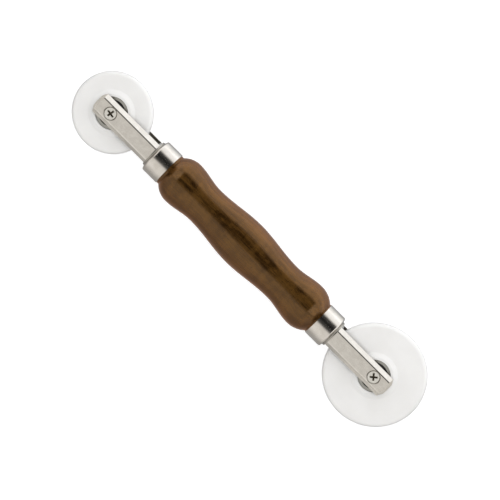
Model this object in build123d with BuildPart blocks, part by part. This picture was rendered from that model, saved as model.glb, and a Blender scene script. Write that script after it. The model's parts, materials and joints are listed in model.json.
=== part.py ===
from build123d import *

import os
from dataclasses import dataclass
from math import cos, radians, sqrt

# A double-ended hand roller: a turned wooden handle with a steel ferrule and a steel fork at each
# end, and a smooth nylon wheel on a sealed ball bearing in each fork.
#
# Frame: the origin is the middle of the handle, on its axis. +X runs along the handle to the large
# wheel, +Z along both axles, up as the tool lies flat with its screw heads on top. Millimetres.

# --- Wheels ---
large_wheel_diameter = 50.8
small_wheel_diameter = 40.0
disc_thickness = 4.4
rim_rounding = 1.9
hub_width = 6.0
hub_wall = 1.3
hub_slope = 2.1
hub_edge_rounding = 0.5
hub_foot_rounding = 1.2
bearing_lip = 0.9
rim_gap = 1.0

# --- Ball bearings, both the same ---
bearing_diameter = 16.0
bearing_bore = 5.0
bearing_width = 5.0
ball_diameter = 2.778
ball_count = 7
groove_depth = 0.37
race_conformity = 0.52
ring_chamfer = 0.25
seal_ledge = 0.3
seal_seat_depth = 0.5
seal_thickness = 0.4
seal_lip_gap = 0.15
cage_thickness = 1.3
cage_floor = 0.35
cage_prong_height = 0.7
cage_prong_gap = 0.8

# --- Axles, both the same ---
screw_diameter = 3.5
screw_head_diameter = 5.8
screw_head_edge = 0.1
screw_head_sink = 0.42
screw_end_chamfer = 0.4
screw_end_setback = 0.3
recess_width = 4.4
recess_wing = 0.95
recess_depth = 1.5
recess_floor_width = 1.0
spacer_diameter = 7.5
spacer_thickness = 1.0

# --- Forks, both the same ---
bar_diameter = 14.4
flat_depth = 1.05
side_depth = 1.5
arm_chamfer = 2.1
cove_radius = 0.8
collar_length = 1.2
slot_root = 0.9
tip_reach = 8.9
tip_chamfer_length = 1.8
tip_chamfer_depth = 2.6
flat_arris_rounding = 1.0
side_arris_rounding = 0.3
slot_arris_rounding = 0.15
shank_diameter = 8.0
shank_length = 28.0
shank_chamfer = 1.0
barb_depth = 0.35
barb_pitch = 3.0
barb_count = 7

# --- Handle ---
grip_length = 100.6
grip_middle_diameter = 24.6
grip_waist_diameter = 20.4
grip_waist_offset = 25.8
grip_end_diameter = 24.2
grip_end_setback = 9.2
neck_step = 0.4
small_neck_length = 1.2
large_neck_length = 0.5
blind_hole_extra = 2.0

# --- Ferrules, both the same ---
ferrule_length = 9.7
ferrule_shoulder = 1.9
ferrule_wall = 0.8
ferrule_end_wall = 1.0
ferrule_rounding = 1.1
ferrule_mouth_chamfer = 0.15

# --- Clearances, all on the radius ---
press_clearance = 0.02
screw_clearance = 0.1
spacer_clearance = 0.05
ball_clearance = 0.03
pocket_clearance = 0.08

# --- Stations along the handle, from its middle ---
ferrule_start = grip_length / 2
ferrule_end = ferrule_start + ferrule_length
tenon_end = ferrule_end - ferrule_end_wall
flat_station = ferrule_end + collar_length
slot_station = flat_station + slot_root
axle_station = slot_station + rim_gap + max(large_wheel_diameter, small_wheel_diameter) / 2
tip_station = axle_station + tip_reach
shank_start = tenon_end - shank_length

# --- Radii and heights that follow ---
bar_radius = bar_diameter / 2
shank_radius = shank_diameter / 2
ferrule_radius = bar_radius + ferrule_shoulder
ferrule_bore_radius = ferrule_radius - ferrule_wall
neck_radius = ferrule_radius - neck_step
arm_face_height = bar_radius - flat_depth
arm_width = bar_diameter - 2 * side_depth
slot_half_width = bearing_width / 2 + spacer_thickness
arm_thickness = arm_face_height - slot_half_width
screw_radius = screw_diameter / 2
screw_head_radius = screw_head_diameter / 2
screw_head_top = arm_face_height - screw_head_sink

# --- Inside the bearings ---
bearing_radius = bearing_diameter / 2
bore_radius = bearing_bore / 2
race_face = bearing_width / 2
pitch_radius = (bearing_radius + bore_radius) / 2
ball_radius = ball_diameter / 2
groove_radius = race_conformity * ball_diameter
outer_groove_radius = pitch_radius + ball_radius + ball_clearance
inner_groove_radius = pitch_radius - ball_radius - ball_clearance
outer_land_radius = outer_groove_radius - groove_depth
inner_land_radius = inner_groove_radius + groove_depth
seal_seat_radius = outer_land_radius + seal_ledge
seal_seat_height = race_face - seal_seat_depth
groove_half_width = sqrt(groove_radius**2 - (groove_radius - groove_depth) ** 2)


@dataclass
class End:
    """One end of the tool: its side along X, its wheel, the handle's neck and the screw's turn."""

    name: str
    side: int
    wheel_diameter: float
    neck_length: float
    screw_turn: float

    def outward(self):
        """The plane of the handle's axis, with local +X out of this end and +Z along the axle."""
        return Plane(origin=(0, 0, 0), x_dir=(self.side, 0, 0), z_dir=(0, 0, 1))

    def across(self, station):
        """A plane square to the handle's axis, facing out of this end, with local +Y up."""
        return Plane(
            origin=(self.side * station, 0, 0), x_dir=(0, self.side, 0), z_dir=(self.side, 0, 0)
        )

    def axle(self, height=0.0):
        """A plane square to the axle at a height above the handle's axis."""
        return Plane(
            origin=(self.side * axle_station, 0, height), x_dir=(self.side, 0, 0), z_dir=(0, 0, 1)
        )

    def axle_section(self):
        """The plane of a profile turned about the axle: local x is its radius, y its height."""
        return Plane(
            origin=(self.side * axle_station, 0, 0),
            x_dir=(self.side, 0, 0),
            z_dir=(0, -self.side, 0),
        )

    def axle_axis(self):
        return Axis((self.side * axle_station, 0, 0), (0, 0, 1))


ends = [
    End("small", -1, small_wheel_diameter, small_neck_length, -10.0),
    End("large", 1, large_wheel_diameter, large_neck_length, 40.0),
]


# --- Handle and ferrules ---


def make_handle():
    """The turned grip: a swell in the middle and near each end, and a bored tenon at each end."""
    tenon_radius = ferrule_bore_radius - press_clearance
    middle = (0, grip_middle_diameter / 2)
    waist = (grip_waist_offset, grip_waist_diameter / 2)
    swell = (ferrule_start - grip_end_setback, grip_end_diameter / 2)
    with BuildPart() as handle:
        for end in ends:
            neck = (ferrule_start - end.neck_length, neck_radius)
            with BuildSketch(end.outward()):
                with BuildLine():
                    Spline(middle, waist, tangents=[(1, 0), (1, 0)])
                    Spline(waist, swell, tangents=[(1, 0), (1, 0)])
                    TangentArc(swell, neck, tangent=(1, 0))
                    Polyline(
                        neck,
                        (ferrule_start, neck_radius),
                        (ferrule_start, tenon_radius),
                        (tenon_end, tenon_radius),
                        (tenon_end, 0),
                        (0, 0),
                        middle,
                    )
                make_face()
            revolve(axis=Axis.X)
            with Locations(end.across(tenon_end)):
                Hole(shank_radius + press_clearance, depth=shank_length + blind_hole_extra)
    return handle.part


def make_ferrule(end):
    """A drawn cup over the tenon, with a hole in its end wall for the fork's bar."""
    hole = bar_radius + press_clearance
    with BuildPart() as ferrule:
        with BuildSketch(end.outward()):
            Polygon(
                (ferrule_start, ferrule_bore_radius),
                (ferrule_start, ferrule_radius),
                (ferrule_end, ferrule_radius),
                (ferrule_end, hole),
                (tenon_end, hole),
                (tenon_end, ferrule_bore_radius),
                align=None,
            )
        revolve(axis=Axis.X)
        rims = ferrule.edges().filter_by(GeomType.CIRCLE).group_by(lambda edge: edge.radius)[-1]
        rims = rims.sort_by(lambda edge: abs(edge.center().X))
        chamfer(rims[0], ferrule_mouth_chamfer)
        rounded = ferrule.edges().filter_by(GeomType.CIRCLE).group_by(lambda edge: edge.radius)[-1]
        fillet(rounded.sort_by(lambda edge: abs(edge.center().X))[-1], ferrule_rounding)
    return ferrule.part


# --- Forks ---


def bar_outline():
    """The turned bar's outline, out from the end of its shank: barbs, shoulder and cove."""
    root = shank_radius - barb_depth
    barbs_start = shank_start + shank_chamfer
    barbs_end = barbs_start + barb_count * barb_pitch
    outline = [(shank_start, 0), (shank_start, root - shank_chamfer), (barbs_start, root)]
    for barb in range(barb_count):
        crest = barbs_start + (barb + 1) * barb_pitch
        outline += [(crest, shank_radius), (crest, root)]
    outline += [
        (barbs_end + barb_pitch / 2, root),
        (barbs_end + barb_pitch / 2, shank_radius),
        (tenon_end, shank_radius),
        (tenon_end, bar_radius),
        (ferrule_end, bar_radius),
        (ferrule_end, bar_radius + cove_radius),
    ]
    return outline


def arm_section():
    """The section of the arms before they are slotted: a bar with chamfered corners."""
    with BuildSketch() as section:
        Rectangle(arm_width, 2 * arm_face_height)
        chamfer(section.vertices(), arm_chamfer)
    return section.sketch


def make_fork(end):
    """A bar turned at both ends, milled to chamfered arms, and slotted and drilled for its wheel."""
    cove_end = ferrule_end + cove_radius
    cove_middle = cove_radius * (1 - cos(radians(45)))
    head_run = screw_head_edge + screw_head_sink + press_clearance
    section = arm_section()
    arrises = [
        (slot_half_width, slot_arris_rounding),
        (arm_face_height - arm_chamfer, side_arris_rounding),
        (arm_face_height, flat_arris_rounding),
    ]
    with BuildPart() as fork:
        with BuildSketch(end.outward()):
            with BuildLine():
                outline = Polyline(*bar_outline())
                ThreePointArc(
                    outline @ 1,
                    (ferrule_end + cove_middle, bar_radius + cove_middle),
                    (cove_end, bar_radius),
                )
                Polyline(
                    (cove_end, bar_radius),
                    (tip_station - tip_chamfer_length, bar_radius),
                    (tip_station, bar_radius - tip_chamfer_depth),
                    (tip_station, 0),
                    (shank_start, 0),
                )
            make_face()
        revolve(axis=Axis.X)

        with BuildSketch(end.across(flat_station)):
            Rectangle(2 * bar_diameter, 2 * bar_diameter)
            add(section, mode=Mode.SUBTRACT)
        extrude(amount=tip_station - flat_station, mode=Mode.SUBTRACT)
        with BuildSketch(end.across(slot_station)):
            Rectangle(2 * bar_diameter, 2 * slot_half_width)
        extrude(amount=tip_station - slot_station, mode=Mode.SUBTRACT)
        for height, rounding in arrises:
            along = fork.edges().filter_by(Axis.X)
            along = along.filter_by(lambda edge: abs(edge.center().X) > slot_station)
            fillet(along.filter_by(lambda edge: abs(abs(edge.center().Z) - height) < 0.01), rounding)

        with Locations(end.axle(arm_face_height)):
            CounterSinkHole(
                radius=screw_radius + screw_clearance,
                counter_sink_radius=screw_head_radius + head_run,
                depth=arm_thickness,
                counter_sink_angle=90,
            )
        with Locations(end.axle(-slot_half_width)):
            Hole(screw_radius + press_clearance, depth=arm_thickness)
    return fork.part


# --- Wheels and bearings ---


def make_wheel(end):
    """A smooth disc with a round rim and a raised hub, bored to a lip that the bearing seats on."""
    rim = end.wheel_diameter / 2
    hub_face = bearing_radius + hub_wall
    hub_foot = hub_face + hub_slope
    seat = bearing_radius + press_clearance
    lip = bearing_radius - bearing_lip
    face = hub_width / 2
    web = disc_thickness / 2
    with BuildPart() as wheel:
        with BuildSketch(end.axle_section()) as profile:
            Polygon(
                (seat, face),
                (hub_face, face),
                (hub_foot, web),
                (rim, web),
                (rim, -web),
                (hub_foot, -web),
                (hub_face, -face),
                (lip, -face),
                (lip, -race_face),
                (seat, -race_face),
                align=None,
            )
            corners = profile.vertices().group_by(Axis.X)
            fillet(corners[-1], rim_rounding)
            corners = profile.vertices().filter_by(lambda corner: abs(corner.X - hub_foot) < 1e-6)
            fillet(corners, hub_foot_rounding)
            corners = profile.vertices().filter_by(lambda corner: abs(corner.X - hub_face) < 1e-6)
            fillet(corners, hub_edge_rounding)
        revolve(axis=end.axle_axis())
    return wheel.part


def make_outer_race(end):
    """The bearing's outer ring, grooved for the balls and stepped for a seal at each face."""
    with BuildPart() as race:
        with BuildSketch(end.axle_section()):
            with BuildLine():
                ThreePointArc(
                    (outer_land_radius, -groove_half_width),
                    (outer_groove_radius, 0),
                    (outer_land_radius, groove_half_width),
                )
                Polyline(
                    (outer_land_radius, groove_half_width),
                    (outer_land_radius, seal_seat_height),
                    (seal_seat_radius, seal_seat_height),
                    (seal_seat_radius, race_face),
                    (bearing_radius - ring_chamfer, race_face),
                    (bearing_radius, race_face - ring_chamfer),
                    (bearing_radius, ring_chamfer - race_face),
                    (bearing_radius - ring_chamfer, -race_face),
                    (seal_seat_radius, -race_face),
                    (seal_seat_radius, -seal_seat_height),
                    (outer_land_radius, -seal_seat_height),
                    (outer_land_radius, -groove_half_width),
                )
            make_face()
        revolve(axis=end.axle_axis())
    return race.part


def make_inner_race(end):
    """The bearing's inner ring, grooved for the balls and held still on the axle sleeve."""
    with BuildPart() as race:
        with BuildSketch(end.axle_section()):
            with BuildLine():
                ThreePointArc(
                    (inner_land_radius, -groove_half_width),
                    (inner_groove_radius, 0),
                    (inner_land_radius, groove_half_width),
                )
                Polyline(
                    (inner_land_radius, groove_half_width),
                    (inner_land_radius, race_face),
                    (bore_radius + ring_chamfer, race_face),
                    (bore_radius, race_face - ring_chamfer),
                    (bore_radius, ring_chamfer - race_face),
                    (bore_radius + ring_chamfer, -race_face),
                    (inner_land_radius, -race_face),
                    (inner_land_radius, -groove_half_width),
                )
            make_face()
        revolve(axis=end.axle_axis())
    return race.part


def make_balls(end):
    with BuildPart() as balls:
        with Locations(end.axle()):
            with PolarLocations(pitch_radius, ball_count):
                Sphere(ball_radius)
    return balls.part


def make_ball_cage(end):
    """A moulded crown cage: a floor ring under the balls, with two prongs up round each of them."""
    floor_height = -ball_radius - cage_floor
    between_balls = 360 / ball_count / 2
    with BuildPart() as cage:
        with BuildSketch(end.axle(floor_height)):
            Circle(pitch_radius + cage_thickness / 2)
            Circle(pitch_radius - cage_thickness / 2, mode=Mode.SUBTRACT)
        extrude(amount=cage_prong_height - floor_height)
        with BuildSketch(end.axle()):
            with PolarLocations(pitch_radius, ball_count, start_angle=between_balls):
                Rectangle(2 * cage_thickness, cage_prong_gap)
        extrude(amount=cage_prong_height, mode=Mode.SUBTRACT)
        with Locations(end.axle()):
            with PolarLocations(pitch_radius, ball_count):
                Sphere(ball_radius + pocket_clearance, mode=Mode.SUBTRACT)
    return cage.part


def make_seal(end, lower_face):
    """A rubber ring pressed into the outer race, with its lip just clear of the inner race."""
    with BuildPart() as seal:
        with BuildSketch(end.axle(lower_face)):
            Circle(seal_seat_radius - press_clearance)
            Circle(inner_land_radius + seal_lip_gap, mode=Mode.SUBTRACT)
        extrude(amount=seal_thickness)
    return seal.part


# --- Axles ---


def make_axle_sleeve(end):
    """The tube that the screw clamps between the arms, and that the bearing sits on."""
    with BuildPart() as sleeve:
        with BuildSketch(end.axle(-slot_half_width)):
            Circle(bore_radius - press_clearance)
            Circle(screw_radius + screw_clearance, mode=Mode.SUBTRACT)
        extrude(amount=2 * slot_half_width)
    return sleeve.part


def make_spacer(end, lower_face):
    """The washer that holds the bearing's inner race off an arm."""
    with BuildPart() as spacer:
        with BuildSketch(end.axle(lower_face)):
            Circle(spacer_diameter / 2)
            Circle(bore_radius + spacer_clearance, mode=Mode.SUBTRACT)
        extrude(amount=spacer_thickness)
    return spacer.part


def make_screw_recess(end):
    """The shape of the cross recess: two crossed wings that taper to a small floor."""
    with BuildPart() as recess:
        with BuildSketch(end.axle(screw_head_top)):
            with PolarLocations(0, 2, start_angle=end.screw_turn, angular_range=180):
                Rectangle(recess_width, recess_wing)
        extrude(amount=-recess_depth)
        with BuildSketch(end.axle_section()):
            Polygon(
                (0, screw_head_top),
                (recess_width / 2, screw_head_top),
                (recess_floor_width / 2, screw_head_top - recess_depth),
                (0, screw_head_top - recess_depth),
                align=None,
            )
        revolve(axis=end.axle_axis(), mode=Mode.INTERSECT)
    return recess.part


def make_axle_screw(end):
    """A countersunk screw through the upper arm and the sleeve, threaded into the lower arm."""
    cone_top = screw_head_top - screw_head_edge
    screw_end = screw_end_setback - arm_face_height
    recess = make_screw_recess(end)
    with BuildPart() as screw:
        with BuildSketch(end.axle_section()):
            Polygon(
                (0, screw_head_top),
                (screw_head_radius, screw_head_top),
                (screw_head_radius, cone_top),
                (screw_radius, cone_top - (screw_head_radius - screw_radius)),
                (screw_radius, screw_end + screw_end_chamfer),
                (screw_radius - screw_end_chamfer, screw_end),
                (0, screw_end),
                align=None,
            )
        revolve(axis=end.axle_axis())
        add(recess, mode=Mode.SUBTRACT)
    return screw.part


def write(part, name):
    """Labels a finished piece and writes it as its node's STEP file."""
    part.label = name
    export_step(part, f"parts/{name}.step")


os.makedirs("parts", exist_ok=True)
write(make_handle(), "handle")
for tool_end in ends:
    write(make_ferrule(tool_end), f"{tool_end.name}_ferrule")
    write(make_fork(tool_end), f"{tool_end.name}_fork")
    write(make_wheel(tool_end), f"{tool_end.name}_wheel")
    write(make_outer_race(tool_end), f"{tool_end.name}_outer_race")
    write(make_inner_race(tool_end), f"{tool_end.name}_inner_race")
    write(make_balls(tool_end), f"{tool_end.name}_balls")
    write(make_ball_cage(tool_end), f"{tool_end.name}_ball_cage")
    write(make_seal(tool_end, seal_seat_height), f"{tool_end.name}_upper_seal")
    write(make_seal(tool_end, -seal_seat_height - seal_thickness), f"{tool_end.name}_lower_seal")
    write(make_axle_sleeve(tool_end), f"{tool_end.name}_axle_sleeve")
    write(make_spacer(tool_end, race_face), f"{tool_end.name}_upper_spacer")
    write(make_spacer(tool_end, -slot_half_width), f"{tool_end.name}_lower_spacer")
    write(make_axle_screw(tool_end), f"{tool_end.name}_axle_screw")
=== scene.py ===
"""A double-ended hand roller: looks, floor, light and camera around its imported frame."""

import json
from math import cos, pi, radians, sin

import bmesh
import bpy
from mathutils import Matrix, Vector


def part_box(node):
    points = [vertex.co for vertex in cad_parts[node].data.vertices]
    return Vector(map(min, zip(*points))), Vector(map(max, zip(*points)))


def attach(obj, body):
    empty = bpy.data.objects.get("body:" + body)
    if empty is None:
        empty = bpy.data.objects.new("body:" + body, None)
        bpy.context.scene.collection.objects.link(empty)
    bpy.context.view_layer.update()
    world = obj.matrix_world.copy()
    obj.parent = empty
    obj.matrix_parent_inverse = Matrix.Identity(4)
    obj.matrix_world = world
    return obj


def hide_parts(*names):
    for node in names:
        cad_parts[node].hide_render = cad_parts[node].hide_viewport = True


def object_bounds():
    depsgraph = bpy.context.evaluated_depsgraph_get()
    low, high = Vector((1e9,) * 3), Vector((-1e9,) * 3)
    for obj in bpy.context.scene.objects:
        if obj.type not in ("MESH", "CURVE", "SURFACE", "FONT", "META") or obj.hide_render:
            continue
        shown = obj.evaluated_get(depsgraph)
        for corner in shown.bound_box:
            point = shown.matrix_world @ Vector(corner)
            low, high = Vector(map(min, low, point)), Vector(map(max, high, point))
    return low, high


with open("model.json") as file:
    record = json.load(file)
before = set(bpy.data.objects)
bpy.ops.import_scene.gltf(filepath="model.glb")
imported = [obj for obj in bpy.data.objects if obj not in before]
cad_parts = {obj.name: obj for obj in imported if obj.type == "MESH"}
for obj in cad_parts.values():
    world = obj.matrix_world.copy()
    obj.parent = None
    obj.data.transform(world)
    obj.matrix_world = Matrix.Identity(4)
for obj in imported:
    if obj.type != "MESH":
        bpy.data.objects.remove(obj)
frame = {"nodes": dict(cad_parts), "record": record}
cad_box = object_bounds()

MM = 0.001
TURN = 2 * pi

# Places of the Mix node's colour sockets, which share their names with its other kinds.
FIRST_COLOUR = 6
SECOND_COLOUR = 7
MIXED_COLOUR = 2


# ---------------------------------------------------------------- shader arithmetic


class Value:
    """An output socket in a node tree. Arithmetic on it adds Math nodes to the tree."""

    def __init__(self, nodes, socket):
        self.nodes = nodes
        self.socket = socket

    def _math(self, operation, *terms):
        inputs = dict(enumerate(terms))
        return self.nodes.node("ShaderNodeMath", {"operation": operation}, inputs)

    def __add__(self, other):
        return self._math("ADD", self, other)

    __radd__ = __add__

    def __sub__(self, other):
        return self._math("SUBTRACT", self, other)

    def __rsub__(self, other):
        return self._math("SUBTRACT", other, self)

    def __mul__(self, other):
        return self._math("MULTIPLY", self, other)

    __rmul__ = __mul__

    def __truediv__(self, other):
        return self._math("DIVIDE", self, other)

    def __pow__(self, other):
        return self._math("POWER", self, other)

    def sine(self):
        return self._math("SINE", self)

    def absolute(self):
        return self._math("ABSOLUTE", self)

    def root(self):
        return self._math("SQRT", self)

    def maximum(self, other):
        return self._math("MAXIMUM", self, other)

    def ramp(self, low, high, to_low=0.0, to_high=1.0):
        """This value carried smoothly from the range low-high to another, and held at its ends."""
        settings = {"interpolation_type": "SMOOTHSTEP"}
        inputs = {0: self, 1: low, 2: high, 3: to_low, 4: to_high}
        return self.nodes.node("ShaderNodeMapRange", settings, inputs)


class Nodes:
    """A node tree under construction, with one method that adds any node to it."""

    def __init__(self, tree):
        self.tree = tree

    def node(self, kind, settings=None, inputs=None, output=0):
        """Adds a node, sets it up, fills its inputs with values or links, and returns an output."""
        made = self.tree.nodes.new(kind)
        for key, value in (settings or {}).items():
            if key == "stops":
                self.set_stops(made.color_ramp, value)
            else:
                setattr(made, key, value)
        for key, value in (inputs or {}).items():
            if isinstance(value, Value):
                self.tree.links.new(value.socket, made.inputs[key])
            else:
                made.inputs[key].default_value = value
        return Value(self, made.outputs[output])

    def set_stops(self, ramp, stops):
        """Fills a ramp with grey stops, given as pairs of a place from 0 to 1 and a brightness."""
        ramp.interpolation = "EASE"
        while len(ramp.elements) < len(stops):
            ramp.elements.new(0.5)
        for element, (place, brightness) in zip(ramp.elements, stops):
            element.position = place
            element.color = (brightness, brightness, brightness, 1.0)

    def axis(self, vector, name):
        """One component of a vector: X, Y or Z."""
        return self.node("ShaderNodeSeparateXYZ", inputs={0: vector}, output=name)

    def blend(self, factor, first, second):
        """A colour between two colours."""
        settings = {"data_type": "RGBA", "clamp_factor": True}
        inputs = {"Factor": factor, FIRST_COLOUR: first, SECOND_COLOUR: second}
        return self.node("ShaderNodeMix", settings, inputs, MIXED_COLOUR)


class Finish(Nodes):
    """A material whose Principled surface is given constants, and is fed from nodes."""

    def __init__(self, name, **constants):
        self.material = bpy.data.materials.new(name)
        self.material.use_nodes = True
        super().__init__(self.material.node_tree)
        self.surface = self.tree.nodes["Principled BSDF"]
        for socket, value in constants.items():
            self.surface.inputs[socket.replace("_", " ")].default_value = value
        self.place = self.node("ShaderNodeTexCoord", output="Object")
        self.x = self.axis(self.place, "X")
        self.y = self.axis(self.place, "Y")
        self.z = self.axis(self.place, "Z")

    def feed(self, socket, value):
        """Links a value to one of the surface's sockets."""
        self.tree.links.new(value.socket, self.surface.inputs[socket])

    def moved(self, centre=(0, 0, 0), scale=(1, 1, 1)):
        """Object coordinates about a centre, stretched by a scale."""
        shifted = self.node(
            "ShaderNodeVectorMath", {"operation": "SUBTRACT"}, {0: self.place, 1: centre}
        )
        return self.node("ShaderNodeVectorMath", {"operation": "MULTIPLY"}, {0: shifted, 1: scale})

    def noise(self, vector, scale, detail=3.0, roughness=0.5, distortion=0.0):
        """Noise between 0 and 1, with a scale in lumps to each unit of the vector."""
        inputs = {
            "Vector": vector,
            "Scale": scale,
            "Detail": detail,
            "Roughness": roughness,
            "Distortion": distortion,
        }
        return self.node("ShaderNodeTexNoise", inputs=inputs, output="Fac")

    def drawn_noise(self, scale, detail=3.0, roughness=0.5, distortion=0.0):
        """Noise with a scale of its own along each axis, so that it is drawn out along some."""
        return self.noise(self.moved(scale=scale), 1.0, detail, roughness, distortion)

    def relief(self, height, depth):
        """A bump of a real depth in metres."""
        inputs = {"Height": height, "Strength": 1.0, "Distance": depth}
        return self.node("ShaderNodeBump", inputs=inputs, output="Normal")


# ---------------------------------------------------------------- finishes


def axle_station():
    """How far each axle is from the middle of the handle."""
    low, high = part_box("large_axle_screw")
    return (low.x + high.x) / 2


def head_radius():
    """The radius of each screw's head."""
    low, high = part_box("large_axle_screw")
    return (high.x - low.x) / 2


AXLE = axle_station()
HEAD_RADIUS = head_radius()
SLOT_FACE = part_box("large_upper_spacer")[1].z
FERRULE_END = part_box("large_ferrule")[1].x


def from_axle(f):
    """The distance from the nearer axle, in a finish."""
    return ((f.x.absolute() - AXLE) ** 2 + f.y**2).root()


def swing(distance, pitch):
    """A wave of one pitch along a distance, between -0.5 and 0.5."""
    return (distance * (TURN / pitch)).sine() * 0.5


def ridges(distance, pitch):
    """The same wave, between 0 and 1."""
    return swing(distance, pitch) + 0.5


def rings(f, pitch):
    """Fine circles round the axle, as a lathe leaves them."""
    return ridges(from_axle(f), pitch)


def hairlines(f, scale):
    """Sparse fine scratches, from noise drawn out along a direction."""
    return f.drawn_noise(scale, 2.0).ramp(0.66, 0.74)


def varnished_walnut():
    """Dark walnut: growth rings, open pores and a curled figure under thin amber varnish."""
    amber = (1.0, 0.51, 0.14, 1.0)
    dark_wood = (0.012, 0.009, 0.006, 1)
    pale_wood = (0.070, 0.064, 0.052, 1)
    pore_brown = (0.008, 0.006, 0.005, 1)
    pith_place = (0, 7 * MM, -15 * MM)
    ring_sway = 7 * MM
    ring_spacing = 2.2 * MM
    f = Finish(
        "varnished_walnut",
        Coat_Weight=1.0,
        Coat_Roughness=0.04,
        Coat_IOR=1.27,
        Coat_Tint=amber,
        IOR=1.69,
    )
    pith = f.moved(pith_place)
    radius = (f.axis(pith, "Y") ** 2 + f.axis(pith, "Z") ** 2).root()
    sway = f.drawn_noise((16, 55, 55), 3.0, 0.5, 0.4)
    growth = ridges(radius + sway * ring_sway, ring_spacing)
    streaks = f.drawn_noise((48, 620, 620), 4.0, 0.68)
    fibre = f.drawn_noise((90, 2300, 2300), 3.0, 0.6)
    curl = f.drawn_noise((360, 90, 90))
    cloud = f.drawn_noise((85, 75, 75))
    pores = f.drawn_noise((230, 3600, 3600), 1.0).ramp(0.60, 0.68)
    tone = growth * 0.06 + streaks * 0.32 + fibre * 0.16 + curl * 0.17 + cloud * 0.29
    paleness = tone.ramp(0.40, 0.61)
    wood = f.blend(paleness, dark_wood, pale_wood)
    f.feed("Base Color", f.blend(pores * 0.6, wood, pore_brown))
    f.feed("Roughness", 0.17 - paleness * 0.07 + fibre * 0.04 + pores * 0.12)
    f.feed("Normal", f.relief(fibre * 0.5 + streaks * 0.8 - pores, 0.008 * MM))
    return f.material


def milled_nickel():
    """Fork steel under nickel: milled and linished along the arms, turned at the collar, with
    painted shade in the slot, in the collar's cove and round the screw's countersink.
    """
    dark_nickel = (0.610, 0.570, 0.506, 1)
    pale_nickel = (0.670, 0.628, 0.560, 1)
    # The dark brown of the painted shade in the slot, the collar's cove and the countersink.
    shade_brown = (0.20, 0.18, 0.145, 1)
    scratch_grey = (0.40, 0.38, 0.33, 1)
    slot_wall = (SLOT_FACE - 0.02 * MM, SLOT_FACE + 0.12 * MM)
    slot_start = (FERRULE_END + 1.9 * MM, FERRULE_END + 2.2 * MM)
    collar_edge = (FERRULE_END + 1.1 * MM, FERRULE_END + 1.3 * MM)
    sink_edge = (HEAD_RADIUS + 0.44 * MM, HEAD_RADIUS + 0.54 * MM)
    f = Finish("milled_nickel", Metallic=1.0)
    drawn = f.drawn_noise((26, 3800, 3800), 4.0, 0.6)
    mottle = f.noise(f.place, 330.0)
    scratches = hairlines(f, (420, 5200, 5200))
    # Where shade falls: the inner faces of the slot, the collar's cove, and a ring round the screw's
    # countersink. The collar's mask also carries its real turning marks.
    inside = f.z.absolute().ramp(*slot_wall, 1, 0) * f.x.absolute().ramp(*slot_start)
    collar = f.x.absolute().ramp(*collar_edge, 1, 0)
    turning = ridges(f.x, 0.16 * MM)
    sink = from_axle(f).ramp(*sink_edge, 1, 0)
    painted_shade = (inside * 0.75 + collar * 0.65).maximum(sink * 0.75)
    bright = f.blend(mottle.ramp(0.3, 0.7), dark_nickel, pale_nickel)
    # Painted shade: the nickel is blended towards dark brown in the slot, the cove and the
    # countersink.
    shaded_nickel = f.blend(painted_shade, bright, shade_brown)
    f.feed("Base Color", f.blend(scratches * 0.25, shaded_nickel, scratch_grey))
    f.feed("Roughness", 0.17 + drawn * 0.09 + mottle * 0.04 + painted_shade * 0.22)
    height = drawn * (1 - collar) + turning * collar * 0.8 - scratches * 0.6
    f.feed("Normal", f.relief(height, 0.0016 * MM))
    return f.material


def drawn_nickel():
    """Ferrule steel under bright nickel, with the faint circles of its polishing."""
    dark_nickel = (0.57, 0.525, 0.465, 1)
    pale_nickel = (0.63, 0.585, 0.525, 1)
    speck_grey = (0.30, 0.27, 0.22, 1)
    f = Finish("drawn_nickel", Metallic=1.0)
    polish = f.drawn_noise((4200, 30, 30), 3.0, 0.6)
    mottle = f.noise(f.place, 240.0)
    specks = f.noise(f.place, 2600.0, 1.0).ramp(0.70, 0.76)
    bright = f.blend(mottle.ramp(0.3, 0.7), dark_nickel, pale_nickel)
    f.feed("Base Color", f.blend(specks * 0.35, bright, speck_grey))
    f.feed("Roughness", 0.12 + polish * 0.05 + mottle * 0.04 + specks * 0.2)
    f.feed("Normal", f.relief(polish, 0.0006 * MM))
    return f.material


def screw_nickel():
    """The screws' plating, brighter on the faced head, with painted shade down in the recess."""
    dark_nickel = (0.68, 0.65, 0.58, 1)
    pale_nickel = (0.76, 0.73, 0.66, 1)
    # The dark brown of the painted shade in the cross recess.
    recess_shade_brown = (0.11, 0.092, 0.062, 1)
    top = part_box("large_axle_screw")[1].z
    f = Finish("screw_nickel", Metallic=1.0)
    facing = rings(f, 0.22 * MM)
    mottle = f.noise(f.place, 520.0)
    # Painted shade: darker the deeper it lies below the head's top.
    shade_in_recess = f.z.ramp(top - 0.5 * MM, top - 0.06 * MM, 1, 0)
    head = f.blend(mottle, dark_nickel, pale_nickel)
    f.feed("Base Color", f.blend(shade_in_recess, head, recess_shade_brown))
    f.feed("Roughness", 0.20 + mottle * 0.08 + shade_in_recess * 0.30)
    f.feed("Normal", f.relief(facing, 0.0012 * MM))
    return f.material


def ground_steel():
    """Bearing rings and balls: plain ground steel, greyer than the nickel."""
    dark_steel = (0.38, 0.365, 0.325, 1)
    pale_steel = (0.47, 0.455, 0.41, 1)
    f = Finish("ground_steel", Metallic=1.0)
    grinding = rings(f, 0.12 * MM)
    mottle = f.noise(f.place, 700.0)
    f.feed("Base Color", f.blend(mottle, dark_steel, pale_steel))
    f.feed("Roughness", 0.32 + mottle * 0.10)
    f.feed("Normal", f.relief(grinding, 0.0010 * MM))
    return f.material


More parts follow.
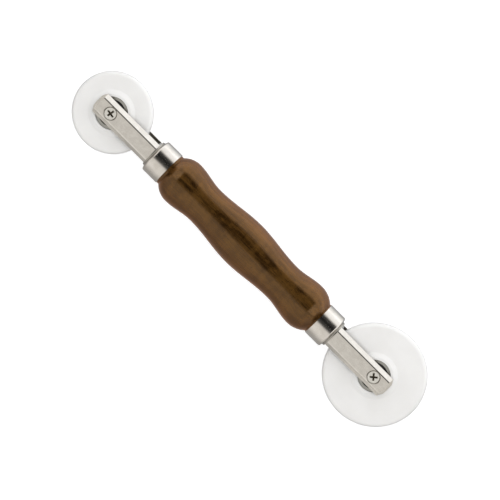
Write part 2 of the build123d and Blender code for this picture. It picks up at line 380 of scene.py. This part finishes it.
def turned_steel():
    """Sleeves and spacers, left as they came off the lathe and darkened by oil."""
    dark_steel = (0.16, 0.145, 0.12, 1)
    pale_steel = (0.30, 0.28, 0.24, 1)
    f = Finish("turned_steel", Metallic=1.0)
    turning = swing(f.z, 0.14 * MM) + rings(f, 0.15 * MM) * 0.5
    oil = f.noise(f.place, 420.0, 4.0)
    f.feed("Base Color", f.blend(oil.ramp(0.35, 0.65), dark_steel, pale_steel))
    f.feed("Roughness", 0.34 + oil * 0.14)
    f.feed("Normal", f.relief(turning, 0.0014 * MM))
    return f.material


def wheel_nylon():
    """White nylon: a faint milky mottle, light scuffs and the circles of its turning."""
    milk_grey = (0.768, 0.757, 0.738, 1)
    milk_white = (0.798, 0.788, 0.770, 1)
    scuff_grey = (0.66, 0.65, 0.62, 1)
    f = Finish(
        "wheel_nylon",
        IOR=1.5,
        Subsurface_Weight=0.12,
        Subsurface_Radius=(1.0, 0.95, 0.85),
        Subsurface_Scale=1.2 * MM,
    )
    milk = f.noise(f.place, 95.0)
    grain = f.noise(f.place, 1500.0)
    turning = rings(f, 0.45 * MM)
    scuffs = f.drawn_noise((700, 2600, 900), 2.0).ramp(0.68, 0.76)
    white = f.blend(milk.ramp(0.3, 0.7), milk_grey, milk_white)
    f.feed("Base Color", f.blend(scuffs * 0.25, white, scuff_grey))
    f.feed("Roughness", 0.36 + grain * 0.10 + scuffs * 0.15)
    f.feed("Normal", f.relief(turning * 0.6 + grain * 0.4, 0.0035 * MM))
    return f.material


def cage_nylon():
    """The ball cages: natural nylon, yellowed a little by grease."""
    greased = (0.52, 0.44, 0.28, 1)
    clean = (0.66, 0.60, 0.44, 1)
    f = Finish("cage_nylon", IOR=1.53, Subsurface_Weight=0.1, Subsurface_Scale=0.6 * MM)
    grease = f.noise(f.place, 800.0)
    f.feed("Base Color", f.blend(grease, greased, clean))
    f.feed("Roughness", 0.38 + grease * 0.2)
    f.feed("Normal", f.relief(grease, 0.004 * MM))
    return f.material


def seal_rubber():
    """Black nitrile with a dusty bloom."""
    black = (0.009, 0.009, 0.009, 1)
    dusty = (0.030, 0.029, 0.027, 1)
    f = Finish("seal_rubber", IOR=1.5)
    bloom = f.noise(f.place, 900.0, 4.0)
    moulding = rings(f, 0.3 * MM)
    f.feed("Base Color", f.blend(bloom, black, dusty))
    f.feed("Roughness", 0.46 + bloom * 0.20)
    f.feed("Normal", f.relief(moulding * 0.5 + bloom * 0.5, 0.004 * MM))
    return f.material


FINISHES = {
    "varnished_walnut": varnished_walnut(),
    "nickel_plate": milled_nickel(),
    "screw_nickel": screw_nickel(),
    "bearing_steel": ground_steel(),
    "turned_steel": turned_steel(),
    "wheel_nylon": wheel_nylon(),
    "cage_nylon": cage_nylon(),
    "seal_rubber": seal_rubber(),
}
FERRULE_FINISH = drawn_nickel()


def dress_frame():
    """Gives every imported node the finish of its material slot."""
    for part in frame["record"]["subparts"]:
        node = frame["nodes"][part["node"]]
        finish = FINISHES[part["material_slot"]]
        if part["node"].endswith("ferrule"):
            finish = FERRULE_FINISH
        for slot in node.material_slots:
            slot.material = finish


dress_frame()


# ---------------------------------------------------------------- seals

RING_SEGMENTS = 128
NEARLY_UPRIGHT = 0.9
SEAL_LIP_GAP = 0.15 * MM
SEAL_ROUNDING = 0.03 * MM

# A seal's outer face from its edge inwards: how wide each step is, and how far it rises.
SEAL_STEPS = [
    (0.30 * MM, 0),
    (0.10 * MM, -0.14 * MM),
    (0.55 * MM, 0),
    (0.16 * MM, 0.10 * MM),
    (0.30 * MM, 0),
    (0.14 * MM, -0.10 * MM),
]


def start_editing():
    """Opens the active mesh in edit mode with nothing selected, face by face."""
    bpy.ops.object.mode_set(mode="EDIT")
    bpy.ops.mesh.select_mode(type="FACE")
    bpy.ops.mesh.select_all(action="DESELECT")
    return bmesh.from_edit_mesh(bpy.context.edit_object.data)


def select_end_face(mesh, side):
    """Selects only the flat end of a disc that faces up (side 1) or down (side -1)."""
    bpy.ops.mesh.select_all(action="DESELECT")
    for face in mesh.faces:
        facing = face.normal.z * side > NEARLY_UPRIGHT
        face.select = facing and len(face.verts) == RING_SEGMENTS
    bmesh.update_edit_mesh(bpy.context.edit_object.data)


def make_seal(end, level, side):
    """A moulded seal: a clinched edge, a shallow groove, and a lip raised round the inner race."""
    node = f"{end}_{level}_seal"
    low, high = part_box(node)
    middle = (low + high) / 2
    radius = (high.x - low.x) / 2
    race_low, race_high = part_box(f"{end}_inner_race")
    bore = (race_high.x - race_low.x) / 2 + SEAL_LIP_GAP
    bpy.ops.object.select_all(action="DESELECT")
    bpy.ops.mesh.primitive_cylinder_add(
        vertices=RING_SEGMENTS, radius=radius, depth=high.z - low.z, location=middle
    )
    seal = bpy.context.object
    seal.name = f"{end}_{level}_moulded_seal"
    mesh = start_editing()
    select_end_face(mesh, side)
    for width, rise in SEAL_STEPS:
        bpy.ops.mesh.inset(thickness=width, depth=rise)
    stepped_width = sum(width for width, _ in SEAL_STEPS)
    bpy.ops.mesh.inset(thickness=radius - bore - stepped_width)
    bpy.ops.mesh.delete(type="ONLY_FACE")
    select_end_face(mesh, -side)
    bpy.ops.mesh.inset(thickness=radius - bore)
    bpy.ops.mesh.delete(type="ONLY_FACE")
    bpy.ops.mesh.select_mode(type="EDGE")
    bpy.ops.mesh.select_non_manifold()
    bpy.ops.mesh.bridge_edge_loops()
    bpy.ops.mesh.select_all(action="SELECT")
    bpy.ops.mesh.normals_make_consistent(inside=False)
    bpy.ops.object.mode_set(mode="OBJECT")
    softened = seal.modifiers.new("softened", "BEVEL")
    softened.width = SEAL_ROUNDING
    softened.segments = 2
    softened.angle_limit = radians(25)
    bpy.ops.object.modifier_apply(modifier="softened")
    bpy.ops.object.transform_apply(location=True, rotation=True, scale=True)
    bpy.ops.object.shade_smooth_by_angle(angle=radians(30))
    seal.data.materials.append(FINISHES["seal_rubber"])
    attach(seal, f"{end}_wheel_set")
    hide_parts(node)


for end in ("small", "large"):
    make_seal(end, "upper", 1)
    make_seal(end, "lower", -1)


# ---------------------------------------------------------------- floor, light and camera

# How bright the studio is at angles in degrees from straight up, turning towards +Y: a wide soft
# light on each side, a black gap over the tool between them, and a pale table below.
STUDIO = [
    (-180, 0.42),
    (-112, 0.50),
    (-50, 1.07),
    (-13, 0.97),
    (4, 0.08),
    (28, 0.012),
    (48, 0.07),
    (67, 1.38),
    (82, 1.52),
    (100, 1.85),
    (122, 1.32),
    (150, 0.62),
    (180, 0.42),
]
BRIGHTEST = 2.0
TABLE_SHADE = 0.75
END_GLOW = 1.4
NEUTRAL = (1, 1, 1, 1)
COOL = (0.965, 1.0, 1.055, 1)

FLOOR_SIZE = 6.0
FLOOR_GREY = (0.92, 0.92, 0.92, 1)
FLOOR_GLOW = 0.5

LAMP_WIDTH = 0.40
LAMP_POWER = 1.6
LAMP_PLACE = Vector((0.03, 0.42, 0.36))


def make_floor():
    """A pale floor under the tool, seen by the camera but not mirrored in the nickel."""
    underside = cad_box[0].z
    bpy.ops.object.select_all(action="DESELECT")
    bpy.ops.mesh.primitive_plane_add(size=FLOOR_SIZE, location=(0, 0, underside))
    floor = bpy.context.object
    floor.name = "floor"
    floor.visible_glossy = False
    floor.visible_diffuse = False
    floor.visible_shadow = False
    pale_floor = Finish(
        "pale_floor",
        Base_Color=FLOOR_GREY,
        Roughness=0.9,
        Specular_IOR_Level=0.0,
        Emission_Color=NEUTRAL,
        Emission_Strength=FLOOR_GLOW,
    )
    floor.data.materials.append(pale_floor.material)


def make_surroundings():
    """The studio as a world: its brightness follows the angle round the tool.

    The black gap closes towards the tool's two ends, where the studio glows instead. The table
    below is shaded only for scattered light, so that metal still mirrors it in full.
    """
    world = bpy.data.worlds.new("studio")
    bpy.context.scene.world = world
    world.use_nodes = True
    n = Nodes(world.node_tree)
    direction = n.node("ShaderNodeTexCoord", output="Generated")
    along = n.axis(direction, "X").absolute()
    height = n.axis(direction, "Z")
    tilt = n.node("ShaderNodeMath", {"operation": "ARCTAN2"}, {0: n.axis(direction, "Y"), 1: height})
    stops = [((angle + 180) / 360, brightness / BRIGHTEST) for angle, brightness in STUDIO]
    glow = n.node("ShaderNodeValToRGB", {"stops": stops}, {0: tilt / TURN + 0.5})
    gap = tilt.ramp(radians(-8), radians(2)) * tilt.ramp(radians(50), radians(66), 1, 0)
    gap_ends = gap * along.ramp(0.40, 0.55)
    glow = glow * BRIGHTEST * (1 - gap_ends) + gap_ends * END_GLOW
    glow = glow * along.ramp(0.88, 0.97, 1, 0.1)
    below = height.ramp(-0.12, 0.05, 1, 0)
    scattered = n.node("ShaderNodeLightPath", output="Is Diffuse Ray")
    glow = glow * (1 - below * scattered * TABLE_SHADE)
    cool = n.blend(tilt.ramp(radians(50), radians(80)), NEUTRAL, COOL)
    background = n.tree.nodes["Background"]
    n.tree.links.new(glow.socket, background.inputs["Strength"])
    n.tree.links.new(cool.socket, background.inputs["Color"])


def make_lamp():
    """One large soft lamp above and to the +Y side."""
    lamp = bpy.data.lights.new("overhead", "AREA")
    lamp.shape = "RECTANGLE"
    lamp.size = LAMP_WIDTH
    lamp.size_y = LAMP_WIDTH
    lamp.energy = LAMP_POWER
    holder = bpy.data.objects.new("overhead", lamp)
    bpy.context.collection.objects.link(holder)
    holder.location = LAMP_PLACE
    holder.rotation_euler = (-LAMP_PLACE).to_track_quat("-Z", "Y").to_euler()
    holder.visible_glossy = False


def make_camera():
    """The camera leans a little towards +Y, and is rolled so that the tool runs corner to corner."""
    lean = radians(12)
    roll = radians(45.05)
    distance = 1.13
    seen_width = 0.2388
    aim = Vector((4.24 * MM, 0, 0))
    along = Vector((1, 0, 0))
    across = Vector((0, cos(lean), -sin(lean)))
    back = Vector((0, sin(lean), cos(lean)))
    right = cos(roll) * along + sin(roll) * across
    up = -sin(roll) * along + cos(roll) * across
    data = bpy.data.cameras.new("camera")
    camera = bpy.data.objects.new("camera", data)
    bpy.context.collection.objects.link(camera)
    data.lens = data.sensor_width * distance / seen_width
    place = Matrix((right, up, back)).transposed().to_4x4()
    place.translation = aim + distance * back
    camera.matrix_world = place
    bpy.context.scene.camera = camera


make_floor()
make_surroundings()
make_lamp()
make_camera()
bpy.context.scene.view_settings.view_transform = "Standard"
